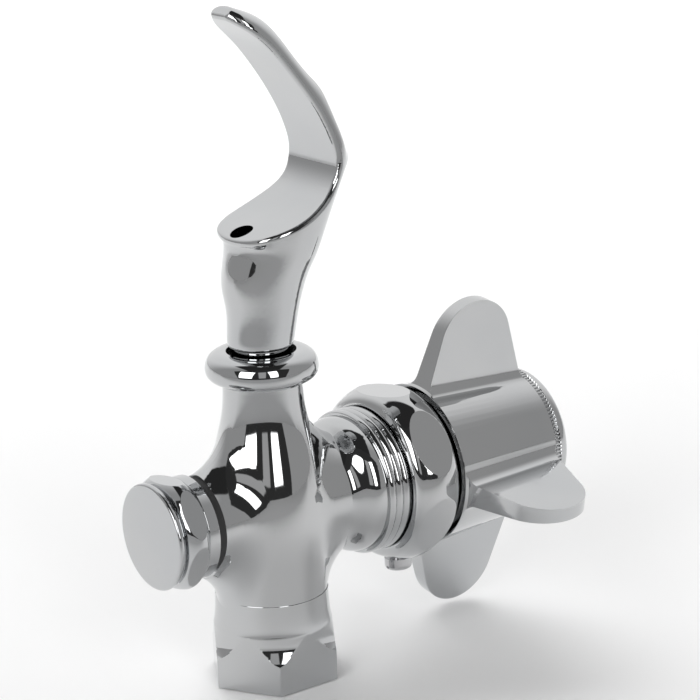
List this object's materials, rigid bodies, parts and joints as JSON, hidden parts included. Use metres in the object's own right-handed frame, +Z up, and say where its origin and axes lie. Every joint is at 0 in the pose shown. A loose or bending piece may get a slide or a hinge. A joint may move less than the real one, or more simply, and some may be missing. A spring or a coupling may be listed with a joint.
{
  "type": "drinking fountain tap",
  "caption": "Self-closing drinking fountain tap with a mouth guard nozzle, a winged handle and a hexagonal threaded inlet.",
  "frame": {"origin": "centre of the inlet's mouth, in the hexagonal base's bottom face", "axes": "+Z up along the inlet and the nozzle, +X along the valve's axis towards the handle"},
  "size_m": [0.0883, 0.0636, 0.126],
  "materials": {
    "chrome": "bright polished chrome plate on brass",
    "brass": "machined brass",
    "rubber": "matt black rubber",
    "spring_steel": "drawn stainless wire",
    "screw_steel": "turned stainless steel",
    "ring_steel": "dull grey steel",
    "packing": "graphited packing"
  },
  "bodies": {
    "tap": {"valve_body": "chrome", "nozzle": "chrome", "nozzle_seal": "rubber", "regulator_cap": "chrome", "cap_gasket": "rubber", "valve_seat": "brass", "bonnet": "brass", "bonnet_gasket": "rubber", "bonnet_nut": "chrome", "nut_set_screw": "screw_steel", "closing_ring": "ring_steel", "stem_packing": "packing", "packing_gland": "brass"},
    "handle": {"handle": "chrome", "handle_screw": "screw_steel", "index_cap": "chrome", "spindle": "brass"},
    "stem": {"stem": "brass", "seat_washer": "rubber", "washer_screw": "brass", "return_spring": "spring_steel"},
    "regulator": {"regulator_screw": "brass", "regulator_ring": "rubber"}
  },
  "joints": [
    {"name": "handle_turn", "type": "hinge", "parent": "tap", "child": "handle", "pos_m": [0.046, 0, 0.033], "axis": [1, 0, 0], "range_deg": [0, 90], "stiffness_Nm_per_rad": 0.15},
    {"name": "stem_slide", "type": "slide", "parent": "tap", "child": "stem", "axis": [1, 0, 0], "range_m": [0, 0.0026], "deforming": ["return_spring"]},
    {"name": "regulator_turn", "type": "hinge", "parent": "tap", "child": "regulator", "pos_m": [-0.006, 0, 0.033], "axis": [1, 0, 0], "range_deg": [-180, 180]}
  ],
  "couplings": [
    {"joint": "stem_slide", "follows": "handle_turn", "m_per_rad": 0.0015915}
  ]
}
